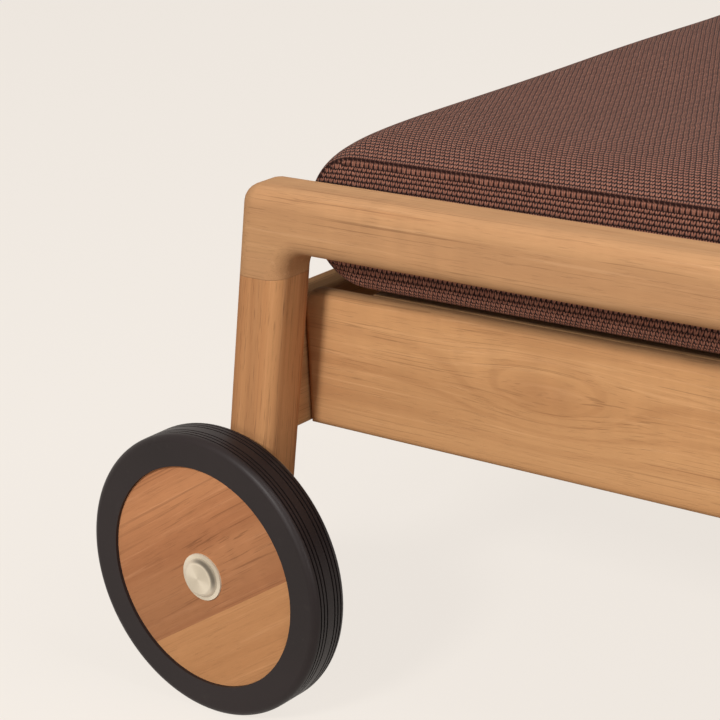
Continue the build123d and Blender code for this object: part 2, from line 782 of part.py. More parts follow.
def pad_plan():
    """Plan of a cushion, whose long sides are drawn in between its ends."""
    x_low = pad_head_x - overrun
    x_high = pad_foot_x + overrun
    x_mid = (x_low + x_high) / 2
    z = pad_bottom - overrun
    corners = [(x_low, pad_out_y, z), (x_high, pad_out_y, z), (x_high, pad_in_y, z), (x_low, pad_in_y, z)]
    outer = ThreePointArc(corners[0], (x_mid, pad_out_y + pad_draw_in, z), corners[1])
    inner = ThreePointArc(corners[2], (x_mid, pad_in_y - pad_draw_in, z), corners[3])
    ends = [Line(corners[1], corners[2]), Line(corners[3], corners[0])]
    plan = make_face([outer, ends[0], inner, ends[1]])
    return extrude(plan, pad_height + 2 * overrun, dir=(0, 0, 1))


def cushion():
    """Whole cushion of one half. Its cover runs over the top and both ends, between two side panels."""
    depths = [share * pad_crown_reach for share in pad_level_shares]
    sections = [pad_section(d, pad_out_y + d) for d in depths]
    sections += [pad_section(d, pad_in_y - d) for d in reversed(depths)]
    return loft(sections, ruled=True) & pad_plan()


def fold_wedge(half_gap):
    """V-shaped space between the seat cushion and the back cushion."""
    lean = math.tan(math.radians(fold_angle))
    low = pad_bottom - overrun
    high = pad_top + overrun
    low_half = half_gap + (low - hinge_z) * lean
    high_half = half_gap + (high - hinge_z) * lean
    points = [(hinge_x - low_half, low), (hinge_x + low_half, low),
              (hinge_x + high_half, high), (hinge_x - high_half, high)]
    return upright_board(points, pad_out_y - overrun, pad_in_y + overrun)


def cushion_pieces():
    """Back cushion, fold and seat cushion, in that order along the length."""
    whole = cushion()
    ends = (whole - fold_wedge(fold_half_gap)).solids().sort_by(Axis.X)
    fold = whole & fold_wedge(fold_half_gap - fold_clearance)
    return ends[0], fold, ends[-1]


def touching(cuts, shape):
    """Those of the cuts whose boxes meet a shape's box."""
    box = shape.bounding_box()
    return [c for c in cuts if c.bounding_box().min.X < box.max.X and c.bounding_box().max.X > box.min.X
            and c.bounding_box().min.Y < box.max.Y and c.bounding_box().max.Y > box.min.Y]


def group(shapes):
    """Separate solids as one node."""
    return Compound(children=[s for shape in shapes for s in shape.solids()])


def right_half():
    """Nodes of the right half that have a mirror image of their own."""
    dowels = frame_dowels()
    back_places = slat_places(back_head_x + panel_rail_width, back_foot_x - panel_rail_width)
    seat_places = slat_places(seat_head_x, foot_rail_in_x)
    side_region = block(head_rail_in_x, foot_rail_in_x, apron_out_y, apron_in_y, cross_rail_bottom, seat_top)
    back_pad, fold, seat_pad = cushion_pieces()
    return {
        "side_rail": [side_rail()],
        "head_leg": [head_leg()],
        "foot_leg": [foot_leg()],
        "apron": [apron(touching(dowels, side_region))],
        "seat_slats": slats(seat_places),
        "axle": [axle()],
        "seat_pad": [seat_pad],
        "backrest_stiles": stiles(back_head_x, back_foot_x, back_places),
        "backrest_rails": [panel_rail(back_head_x, back_head_x + panel_rail_width),
                           panel_rail(back_foot_x - panel_rail_width, back_foot_x)],
        "backrest_slats": slats(back_places),
        "backrest_screws": panel_screws(back_places),
        "hinge_moving_leaves": [hinge_leaf(y, False) for y in hinge_ys()],
        "prop_brackets": [prop_bracket(*side) for side in prop_sides()],
        "back_pad": [back_pad],
        "cushion_fold": [fold],
        "prop_arms": [prop_arm(*side) for side in prop_sides()],
        "prop_foot_bar": [foot_bar()],
        "prop_pins": [prop_pin(*side) for side in prop_sides()],
        "tyre": [tyre()],
        "wheel_planks": wheel_planks(),
        "hub_cap": [hub_cap()],
        "wheel_bush": [wheel_bush()],
    }


def shared_nodes():
    """Nodes that run across both halves, or that group like pieces of both."""
    dowels = frame_dowels()
    seat_places = slat_places(seat_head_x, foot_rail_in_x)
    beam_region = block(head_rail_in_x, foot_rail_in_x, -beam_half, beam_half, cross_rail_bottom, seat_top)
    rail_region = block(hinge_rail_x, seat_head_x, apron_in_y, -beam_half, cross_rail_bottom, seat_top)
    end_dowel_sets = {end: both_sides(end_dowels(apron_dowel_y(), end)) + end_dowels(0, end)
                      for end in ("head", "foot")}
    return {
        "head_cross_rail": [cross_rail("head", end_dowel_sets["head"])],
        "foot_cross_rail": [cross_rail("foot", end_dowel_sets["foot"])],
        "centre_beam": [centre_beam(touching(dowels, beam_region))],
        "hinge_rails": both_sides([hinge_rail(touching(dowels, rail_region))]),
        "seat_stiles": both_sides(stiles(seat_head_x, foot_rail_in_x, seat_places)),
        "seat_screws": both_sides(panel_screws(seat_places)),
        "prop_racks": both_sides([prop_rack(apron_in_y, 1), prop_rack(-beam_half, -1)]),
        "joint_bolts": both_sides(joint_bolts()),
        "barrel_nuts": both_sides(barrel_nuts()),
        "frame_dowels": dowels,
        "hinge_fixed_leaves": both_sides([hinge_leaf(y, True) for y in hinge_ys()]),
        "hinge_pins": both_sides(hinge_pins()),
        "axle_nuts": both_sides(axle_fixings()),
        "wheel_spacers": both_sides([wheel_spacer()]),
        "foot_glides": both_sides([foot_glide()]),
    }


def all_nodes():
    """Every node by name, with its solids."""
    nodes = {}
    for name, shapes in right_half().items():
        nodes[name + "_right"] = shapes
        nodes[name + "_left"] = [other_side(s) for s in shapes]
    nodes.update(shared_nodes())
    return nodes


os.makedirs("parts", exist_ok=True)
for name, shapes in all_nodes().items():
    export_step(group(shapes), "parts/" + name + ".step")
print("foot bar path", [tuple(round(v, 1) for v in foot_place(a)) for a in (0, 15, 30, 45, 60)])
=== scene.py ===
import math
import bpy
import numpy as np
from mathutils import Matrix, Vector


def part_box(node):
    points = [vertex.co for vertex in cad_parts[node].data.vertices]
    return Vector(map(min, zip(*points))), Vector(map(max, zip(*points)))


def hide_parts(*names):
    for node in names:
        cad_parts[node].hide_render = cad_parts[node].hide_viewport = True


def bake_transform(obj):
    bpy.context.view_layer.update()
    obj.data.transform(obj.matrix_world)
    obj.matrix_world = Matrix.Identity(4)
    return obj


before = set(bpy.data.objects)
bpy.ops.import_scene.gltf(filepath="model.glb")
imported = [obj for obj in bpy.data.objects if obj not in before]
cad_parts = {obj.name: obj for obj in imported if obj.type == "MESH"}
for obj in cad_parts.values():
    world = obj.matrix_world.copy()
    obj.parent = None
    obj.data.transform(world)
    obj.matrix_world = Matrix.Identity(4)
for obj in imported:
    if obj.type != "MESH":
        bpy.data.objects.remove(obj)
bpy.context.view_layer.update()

# Lengths are metres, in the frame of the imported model. Colours are written as display values, 0 to 255.
SIDES = {"right": -1, "left": 1}
BACKGROUND = (240, 233, 225)
FLOOR_SHADOW = 0.12
FLOOR_GLOW = 1.058
FLOOR_BOUNCE = (136, 123, 111)
LEG_SPLAY = 0.163
PLANK_ANGLE = math.radians(31.6)
PLANK_JOINT_DROP = 0.0264
KNOT = (-0.70352, -0.658, 0.242)
AXLE = (Vector(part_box("tyre_right")[0]) + Vector(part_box("tyre_right")[1])) / 2
BOARD_GAP = 0.008
BOARD_MARGIN = 0.004
CAMERA_FORWARD = (-0.6024, 0.7296, -0.3236)
CAMERA_RIGHT = (0.7806, 0.6231, -0.0482)
CAMERA_PLACE = (AXLE.x + 0.967, -1.742, 0.720)
CAMERA_LENS = 113.05

# Cushions. A reach is the depth in from a side panel over which a form fades.
SEAM_HEIGHT = 0.0957
NOSE = 0.049
SEAM_NOSE = 0.036
BASE_NOSE = 0.038
END_SWELL = 0.004
END_REACH = 0.005
DRAW_IN = 0.004
LOWER_ROLL = 0.012
BELLY_RISE = 0.008
BELLY_REACH = 0.050
CROWN_REACH = 0.020
FULL_REACHES = 4.5
STUFFING = 0.0012
STUFFING_REACH = 0.05
STUFFING_WAVES = (0.45, 0.16)
SETTLING = 0.001
PUCKER = 0.0008
PUCKER_REACH = 0.022
PUCKER_WAVES = (0.09, 0.035)
PUCKER_WIDTH_SHARE = 0.2
SEAM_SINK = 0.0022
SEAM_TOUCH = 0.0001
SEAMLESS_HEIGHT = 0.045
SEAMLESS_FADE = 0.01
SIDE_BULGE = 0.0015
BULGE_REACH = 0.01
ARC_STEPS = 8
LENGTH_STEPS = 134
EDGE_PLACES = (0.0, 0.0006, 0.0016, 0.0032, 0.0055, 0.0087, 0.0128, 0.0180, 0.0243, 0.0317, 0.0400)
INNER_START = 0.049
INNER_PITCH = 0.0125
RISE_PITCH_SHARE = 0.09
HINGE_X = -0.10152
ARCH_RISE = 0.010
ARCH_HALF = 0.190
STITCH_PITCH = 0.00368
ROW_PITCH = 0.0034
SEAM_ROW = 0.0043
STITCH_LEAN = 0.50
UNDER_RAIL = (-0.055, -0.072)


def shade(red, green, blue):
    """Display colour as the renderer's linear colour."""
    values = [v / 255 for v in (red, green, blue)]
    return [v / 12.92 if v <= 0.04045 else ((v + 0.055) / 1.055) ** 2.4 for v in values] + [1.0]


class Shader:
    """A material whose nodes are added one by one."""

    def __init__(self, name):
        self.material = bpy.data.materials.new(name)
        self.material.use_nodes = True
        self.nodes = self.material.node_tree.nodes
        self.links = self.material.node_tree.links
        self.nodes.clear()
        self.output = self.nodes.new("ShaderNodeOutputMaterial")

    def add(self, kind, inputs=None, **settings):
        """New node. An input takes a number, a colour, a vector or another node's socket."""
        node = self.nodes.new("ShaderNode" + kind)
        for key, value in settings.items():
            setattr(node, key, value)
        for key, value in (inputs or {}).items():
            if isinstance(value, bpy.types.NodeSocket):
                self.links.new(value, node.inputs[key])
            else:
                node.inputs[key].default_value = value
        return node

    def math(self, operation, a, b=0.0, clamp=False):
        """Math node. MULTIPLY_ADD adds the half that its third input holds."""
        return self.add("Math", {0: a, 1: b}, operation=operation, use_clamp=clamp).outputs[0]

    def vector(self, operation, a, b=(0, 0, 0)):
        return self.add("VectorMath", {0: a, 1: b}, operation=operation).outputs[0]

    def parts(self, vector):
        return self.add("SeparateXYZ", {0: vector}).outputs

    def join(self, x, y, z):
        return self.add("CombineXYZ", {0: x, 1: y, 2: z}).outputs[0]

    def noise(self, vector, scale=1.0, detail=2.0, roughness=0.5, distortion=0.0):
        node = self.add("TexNoise", {"Vector": vector, "Scale": scale, "Detail": detail,
                                     "Roughness": roughness, "Distortion": distortion})
        return node.outputs["Fac"]

    def step(self, value, low, high, to_low=0.0, to_high=1.0):
        """Smooth step of a value between two edges."""
        node = self.add("MapRange", {"Value": value, "From Min": low, "From Max": high,
                                     "To Min": to_low, "To Max": to_high}, interpolation_type="SMOOTHSTEP")
        return node.outputs[0]

    def mix(self, factor, a, b, blend="MIX"):
        node = self.add("Mix", data_type="RGBA", blend_type=blend)
        for index, value in ((0, factor), (6, a), (7, b)):
            if isinstance(value, bpy.types.NodeSocket):
                self.links.new(value, node.inputs[index])
            else:
                node.inputs[index].default_value = value
        return node.outputs[2]

    def bump(self, height, distance, strength=1.0, normal=None):
        inputs = {"Height": height, "Distance": distance, "Strength": strength}
        if normal is not None:
            inputs["Normal"] = normal
        return self.add("Bump", inputs).outputs[0]

    def surface(self, **inputs):
        """Principled surface. Names have underscores for spaces."""
        named = {key.replace("_", " "): value for key, value in inputs.items()}
        shader = self.add("BsdfPrincipled", named)
        self.links.new(shader.outputs[0], self.output.inputs[0])
        return self.material


def vector_scale(maker, vector, scale, offset=(0, 0, 0)):
    """Coordinates stretched by three factors, then moved."""
    return maker.add("Mapping", {"Vector": vector, "Scale": scale, "Location": offset}).outputs[0]


def grain_rotation(direction):
    """Rotation that turns a grain direction to +X."""
    if direction == "x":
        return (0, 0, 0)
    if direction == "y":
        return (0, 0, -math.pi / 2)
    return (0, direction, 0)


def board_place(m, here, direction, seed, cells):
    """Coordinates along the grain, and a tone. Cells give each board its own figure and tone."""
    along = m.add("Mapping", {"Vector": here, "Rotation": grain_rotation(direction),
                              "Location": (seed * 1.7, seed * 0.31, seed * 0.23)}).outputs[0]
    if not cells:
        return along, None
    axis, start, pitch = cells
    place = m.parts(here)["XYZ".index(axis)]
    number = m.math("FLOOR", m.math("DIVIDE", m.math("SUBTRACT", place, start), pitch))
    chance = m.add("TexWhiteNoise", {"W": number}, noise_dimensions="1D")
    shift = m.vector("MULTIPLY", chance.outputs["Color"], (3.0, 1.0, 1.0))
    return m.vector("ADD", along, shift), chance.outputs["Value"]


def round_knot(m, here, grain, knot):
    """Grain that flows round a knot, and how near the knot is, from 0 to 1."""
    apart = m.vector("SUBTRACT", here, knot)
    spread = m.vector("MULTIPLY", apart, (18.0, 0.0, 48.0))
    away = m.add("VectorMath", {0: spread, 1: spread}, operation="DOT_PRODUCT").outputs["Value"]
    near = m.math("EXPONENT", m.math("MULTIPLY", away, -1.0))
    pull = m.math("MULTIPLY", m.math("MULTIPLY", m.parts(apart)[2], near), -0.85)
    return m.vector("ADD", grain, m.join(0.0, 0.0, pull)), near


def growth_rings(m, along, grain, near):
    """Dark late wood of the growth rings, closed to ovals round a knot."""
    x, y, z = m.parts(grain)
    lean = m.math("ADD", m.math("MULTIPLY", y, 310.0), m.math("MULTIPLY", z, 250.0))
    swirl = m.math("MULTIPLY", m.noise(vector_scale(m, along, (1.5, 12, 12)), detail=1.0), 9.0)
    if near is not None:
        swirl = m.math("ADD", swirl, m.math("MULTIPLY", near, 16.0))
    return m.step(m.math("SINE", m.math("ADD", lean, swirl)), 0.35, 1.0)


def fade_gain(m, here, direction, start, reach, share):
    """Brightness that falls to a share towards a plane."""
    place = m.add("VectorMath", {0: here, 1: direction}, operation="DOT_PRODUCT").outputs["Value"]
    return m.step(place, start, start + reach, share, 1.04)


def teak(name, direction="x", seed=0.0, light=(211, 160, 112), mid=(196, 143, 96), dark=(158, 106, 66),
         streak=1.0, rings=0.5, lines=0.5, cells=None, fade=None, knot=None):
    """Oiled teak. The grain runs along x, y, or at an angle up from +X.

    A fade darkens the wood towards a plane, such as a glue line, or a board's edge where it is a painted
    shadow. It is a direction, the plane's place along it, a reach and the share of brightness there. A knot
    is a place that the grain flows round."""
    m = Shader(name)
    here = m.add("TexCoord").outputs["Object"]
    along, tone = board_place(m, here, direction, seed, cells)
    wander = m.noise(vector_scale(m, along, (2.2, 9, 9)), detail=2.0)
    drift = m.math("MULTIPLY", m.math("SUBTRACT", wander, 0.5), 0.020)
    grain = m.vector("ADD", along, m.join(0.0, drift, m.math("MULTIPLY", drift, -0.8)))
    near = None
    if knot:
        grain, near = round_knot(m, here, grain, knot)
    bands = m.noise(vector_scale(m, grain, (1.1, 34, 34)), detail=3.0, roughness=0.55)
    late = growth_rings(m, along, grain, near)
    wisps = m.noise(vector_scale(m, grain, (5, 330, 330)), detail=5.0, roughness=0.62)
    wisp, pale = m.step(wisps, 0.55, 0.75), m.step(wisps, 0.46, 0.30)
    pores = m.noise(vector_scale(m, grain, (48, 1500, 1500)), detail=2.0, roughness=0.5)
    pore = m.step(pores, 0.60, 0.70)
    fibres = m.noise(vector_scale(m, along, (110, 2600, 2600)), detail=2.0)
    clouds = m.noise(vector_scale(m, along, (5, 9, 9)), detail=2.0)
    patch = m.step(clouds, 0.38, 0.62)
    fine = m.noise(vector_scale(m, grain, (3.5, 800, 800), (0.4, 0.7, 0.2)), detail=2.0, roughness=0.5)
    line = m.math("MULTIPLY", m.step(fine, 0.60, 0.67), m.step(clouds, 0.35, 0.60, 0.25, 1.0))
    colour = m.mix(m.step(bands, 0.34, 0.66), shade(*light), shade(*mid))
    colour = m.mix(m.math("MULTIPLY", late, 0.45 * rings), colour, shade(*dark))
    colour = m.mix(m.math("MULTIPLY", pale, 0.42), colour, shade(*[min(255, c + 18) for c in light]))
    if near is not None:
        colour = m.mix(m.math("MULTIPLY", m.step(near, 0.55, 1.0), 0.3), colour, shade(*dark))
    wispy = m.math("MULTIPLY", wisp, m.math("MULTIPLY_ADD", patch, 0.55))
    colour = m.mix(m.math("MULTIPLY", wispy, 0.75 * streak), colour, shade(*dark))
    colour = m.mix(m.math("MULTIPLY", line, lines), colour, shade(*[c * 0.72 for c in dark]))
    colour = m.mix(m.math("MULTIPLY", pore, 0.38 * streak), colour, shade(*[c * 0.62 for c in dark]))
    gain = m.math("ADD", m.math("MULTIPLY", clouds, 0.26), m.math("MULTIPLY", fibres, 0.16))
    ripple = m.noise(vector_scale(m, grain, (70, 22, 22), (0.3, 0.2, 0.1)), detail=2.0)
    ripple = m.math("MULTIPLY", m.math("SUBTRACT", ripple, 0.5), m.math("MULTIPLY", patch, 0.22))
    gain = m.math("ADD", m.math("ADD", gain, 0.79), ripple)
    if tone is not None:
        gain = m.math("ADD", gain, m.math("MULTIPLY", m.math("SUBTRACT", tone, 0.5), 0.22))
    if fade:
        gain = m.math("MULTIPLY", gain, fade_gain(m, here, *fade))
    colour = m.mix(1.0, colour, m.join(gain, gain, gain), "MULTIPLY")
    rough = m.math("ADD", m.math("MULTIPLY", bands, 0.16), m.math("MULTIPLY_ADD", pore, 0.12))
    rough = m.math("ADD", rough, 0.42)
    soft = m.add("Bevel", {"Radius": 0.0012}, samples=4).outputs[0]
    relief = m.math("SUBTRACT", m.math("MULTIPLY", fibres, 0.35), pore)
    normal = m.bump(relief, 0.00012, 0.6, soft)
    return m.surface(Base_Color=colour, Roughness=rough, Normal=normal, Specular_IOR_Level=0.32)


def rubber():
    """Satin black tyre rubber with a fine mould texture and a dusty bloom."""
    m = Shader("tyre_rubber")
    here = m.add("TexCoord").outputs["Object"]
    bloom = m.noise(here, 9.0, 4.0, 0.6)
    grit = m.noise(here, 1900.0, 2.0)
    scuff = m.noise(vector_scale(m, here, (60, 12, 60)), detail=4.0, roughness=0.7)
    colour = m.mix(m.step(bloom, 0.3, 0.7), shade(33, 26, 26), shade(40, 32, 32))
    colour = m.mix(m.math("MULTIPLY", m.step(scuff, 0.58, 0.74), 0.35), colour, shade(55, 49, 46))
    colour = m.mix(m.math("MULTIPLY", m.step(grit, 0.55, 0.75), 0.25), colour, shade(27, 22, 21))
    rough = m.math("ADD", m.math("MULTIPLY", bloom, 0.18), 0.36)
    normal = m.bump(m.math("ADD", grit, m.math("MULTIPLY", scuff, 0.6)), 0.00008, 0.5)
    return m.surface(Base_Color=colour, Roughness=rough, Normal=normal, Specular_IOR_Level=0.22)


def turned_metal():
    """Hub cap of brushed steel, turned about its axle, with a painted highlight that sweeps round it and a
    painted dark reflection on one side of its shoulder.
    """
    m = Shader("turned_steel")
    here = m.add("TexCoord").outputs["Object"]
    x, _, z = m.parts(m.vector("SUBTRACT", here, (AXLE.x, 0, AXLE.z)))
    reach = m.add("VectorMath", {0: m.join(x, 0.0, z)}, operation="LENGTH").outputs["Value"]
    turned = m.math("MULTIPLY", reach, 5200.0)
    rings = m.add("TexNoise", {"W": turned, "Detail": 3.0}, noise_dimensions="1D").outputs["Fac"]
    spots = m.noise(here, 700.0, 3.0)
    turn = m.math("ARCTAN2", z, x)
    # Painted highlight: paler sectors that sweep round the cap.
    painted_highlight_sweep = m.math("COSINE", m.math("MULTIPLY", m.math("ADD", turn, 0.6), 2.0))
    colour = m.mix(rings, shade(202, 193, 176), shade(224, 216, 202))
    colour = m.mix(m.math("MULTIPLY", m.step(painted_highlight_sweep, 0.1, 1.0), 0.2), colour, shade(228, 222, 211))
    # Painted reflection: a dark crescent on one side of the cap's shoulder.
    shoulder = m.math("MULTIPLY", m.step(reach, 0.0108, 0.0122), m.step(reach, 0.0140, 0.0128))
    dark_reflection_side = m.step(m.math("COSINE", m.math("SUBTRACT", turn, 0.75)), 0.1, 0.9)
    painted_reflection_crescent = m.math("MULTIPLY", m.math("MULTIPLY", shoulder, dark_reflection_side), 0.75)
    colour = m.mix(painted_reflection_crescent, colour, shade(96, 88, 76))
    rough = m.math("ADD", m.math("MULTIPLY", rings, 0.16), m.math("MULTIPLY_ADD", spots, 0.10))
    rough = m.math("ADD", rough, 0.32)
    tangent = m.add("Tangent", direction_type="RADIAL", axis="Y").outputs[0]
    normal = m.bump(rings, 0.00004, 0.35)
    return m.surface(Base_Color=colour, Metallic=1.0, Roughness=rough, Anisotropic=0.3, Tangent=tangent,
                     Normal=normal)


def steel(name, pale=(198, 194, 188), dark=(150, 146, 140), along=(9, 900, 900)):
    """Stainless steel fittings with drawn lines and handling marks."""
    m = Shader(name)
    here = m.add("TexCoord").outputs["Object"]
    lines = m.noise(vector_scale(m, here, along), detail=3.0)
    smudge = m.noise(here, 46.0, 4.0, 0.6)
    colour = m.mix(m.step(lines, 0.35, 0.65), shade(*dark), shade(*pale))
    colour = m.mix(m.math("MULTIPLY", m.step(smudge, 0.5, 0.7), 0.35), colour, shade(112, 104, 96))
    rough = m.math("ADD", m.math("MULTIPLY", smudge, 0.24), 0.22)
    normal = m.bump(lines, 0.00003, 0.5)
    return m.surface(Base_Color=colour, Metallic=1.0, Roughness=rough, Normal=normal)


def nylon():
    """Moulded nylon of glides and bushes."""
    m = Shader("moulded_nylon")
    here = m.add("TexCoord").outputs["Object"]
    grain = m.noise(here, 1500.0, 2.0)
    haze = m.noise(here, 60.0, 3.0)
    colour = m.mix(haze, shade(48, 45, 43), shade(66, 62, 59))
    rough = m.math("ADD", m.math("MULTIPLY", grain, 0.2), 0.42)
    return m.surface(Base_Color=colour, Roughness=rough, Normal=m.bump(grain, 0.00006, 0.6))


def woven_rows(m, v, on_side):
    """Count of the stitch rows. On the side panels the row next to the seam is longer."""
    first = m.math("DIVIDE", v, SEAM_ROW)
    other = m.math("DIVIDE", m.math("ADD", v, SEAM_ROW - ROW_PITCH), ROW_PITCH)
    side = m.math("MINIMUM", first, other)
    top = m.math("DIVIDE", v, ROW_PITCH)
    return m.math("ADD", top, m.math("MULTIPLY", on_side, m.math("SUBTRACT", side, top)))


def outdoor_weave():
    """Coarse woven cover: rows of small V-shaped stitches with dark holes of painted shade between, a sewn
    seam darkened with painted shade, and painted light on the side panels' lowest band.
    """
    m = Shader("woven_cover")
    cloth = m.add("Attribute", attribute_name="cloth").outputs["Vector"]
    slack = m.add("TexNoise", {"Vector": cloth, "Scale": 55.0, "Detail": 2.0}).outputs["Color"]
    slack = m.vector("MULTIPLY", m.vector("SUBTRACT", slack, (0.5, 0.5, 0.5)), (0.0016, 0.0012, 0.0))
    u, v, edge = m.parts(m.vector("ADD", cloth, slack))
    on_side = m.math("LESS_THAN", edge, 0.0)
    edge = m.math("ABSOLUTE", edge)
    row_place = woven_rows(m, v, on_side)
    row = m.math("FLOOR", row_place)
    across = m.math("SUBTRACT", m.math("SUBTRACT", row_place, row), 0.5)
    slant = m.math("MULTIPLY", across, m.math("SUBTRACT", STITCH_LEAN, on_side))
    slant = m.math("MULTIPLY", slant, 0.4)
    lean = m.math("ADD", m.math("MULTIPLY", row, STITCH_LEAN), slant)
    stitch_place = m.math("ADD", m.math("DIVIDE", u, STITCH_PITCH), lean)
    stitch = m.math("FLOOR", stitch_place)
    run = m.math("SUBTRACT", m.math("SUBTRACT", stitch_place, stitch), 0.5)
    strand = m.math("SUBTRACT", m.math("ABSOLUTE", run), 0.21)
    strand = m.math("SUBTRACT", strand, m.math("MULTIPLY", across, 0.16))
    side_drop = m.math("POWER", m.math("ABSOLUTE", m.math("MULTIPLY", strand, 3.9)), 2.0)
    side_drop = m.math("MULTIPLY", side_drop, 0.95)
    row_drop = m.math("POWER", m.math("ABSOLUTE", m.math("MULTIPLY", across, 2.1)), 2.2)
    # Painted light: the rail shades the side's lowest band more than in the photograph, so its cover is
    # made paler here.
    painted_light_band = m.step(v, *UNDER_RAIL)
    row_drop = m.math("MULTIPLY", row_drop, m.math("SUBTRACT", 0.88, m.math("MULTIPLY", painted_light_band, 0.3)))
    drop = m.math("ADD", side_drop, row_drop)
    height = m.math("SUBTRACT", 1.0, drop, True)
    own = m.join(stitch, row, 0.0)
    chance = m.add("TexWhiteNoise", {"Vector": own}, noise_dimensions="3D").outputs["Value"]
    open_edge = m.math("ADD", m.math("MULTIPLY", chance, 0.30), 0.74)
    # Painted shade: the colour falls to near black in the holes between stitches, where the stitch height
    # falls.
    cover = m.step(height, 0.0, open_edge)
    twist = m.math("MULTIPLY", m.math("ADD", u, m.math("MULTIPLY", v, 0.5)), 2600.0)
    fibre = m.noise(m.join(twist, m.math("MULTIPLY", v, 420.0), edge), detail=3.0, roughness=0.6)
    blotch = m.noise(cloth, 14.0, 3.0)
    yarn = m.mix(m.step(fibre, 0.3, 0.72), shade(112, 70, 57), shade(161, 111, 92))
    yarn = m.mix(chance, yarn, m.mix(0.5, yarn, shade(104, 66, 54)))
    gain = m.math("ADD", m.math("MULTIPLY", chance, 0.42), m.math("MULTIPLY", blotch, 0.24))
    # Painted light: the side panels' lowest band is made brighter.
    gain = m.math("ADD", m.math("ADD", gain, 1.22), m.math("MULTIPLY", painted_light_band, 0.34))
    yarn = m.mix(1.0, yarn, m.join(gain, gain, gain), "MULTIPLY")
    # Painted shade: the colour darkens in the seam's groove, except at the seam's stitches.
    groove = m.step(edge, 0.0007, 0.0024)
    thread = m.math("SUBTRACT", u, m.math("MULTIPLY", m.math("SUBTRACT", edge, 0.001), 0.6))
    thread = m.math("COSINE", m.math("MULTIPLY", thread, 2 * math.pi / STITCH_PITCH))
    groove = m.math("ADD", groove, m.math("MULTIPLY", m.step(thread, 0.0, 0.9), 0.55), True)
    cover = m.math("MULTIPLY", cover, groove)
    colour = m.mix(cover, shade(33, 9, 5), yarn)
    rough = m.math("ADD", m.math("MULTIPLY", fibre, 0.12), 0.80)
    relief = m.math("ADD", height, m.math("MULTIPLY", fibre, 0.14))
    normal = m.bump(m.math("MULTIPLY", relief, groove), 0.0014, 0.9)
    return m.surface(Base_Color=colour, Roughness=rough, Normal=normal, Specular_IOR_Level=0.16,
                     Sheen_Weight=0.04, Sheen_Roughness=0.5)


def board_cells(node, axis):
    """First edge and pitch of the boards of a node, from its mesh."""
    index = "XYZ".index(axis)
    places = np.unique(np.array([v.co[index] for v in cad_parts[node].data.vertices]).round(4))
    gaps = np.diff(places)
    starts = [places[0]] + [b for b, g in zip(places[1:], gaps) if g > BOARD_GAP]
    pitch = (starts[-1] - starts[0]) / (len(starts) - 1) if len(starts) > 1 else 1.0
    return axis, float(starts[0] - BOARD_MARGIN), float(pitch)


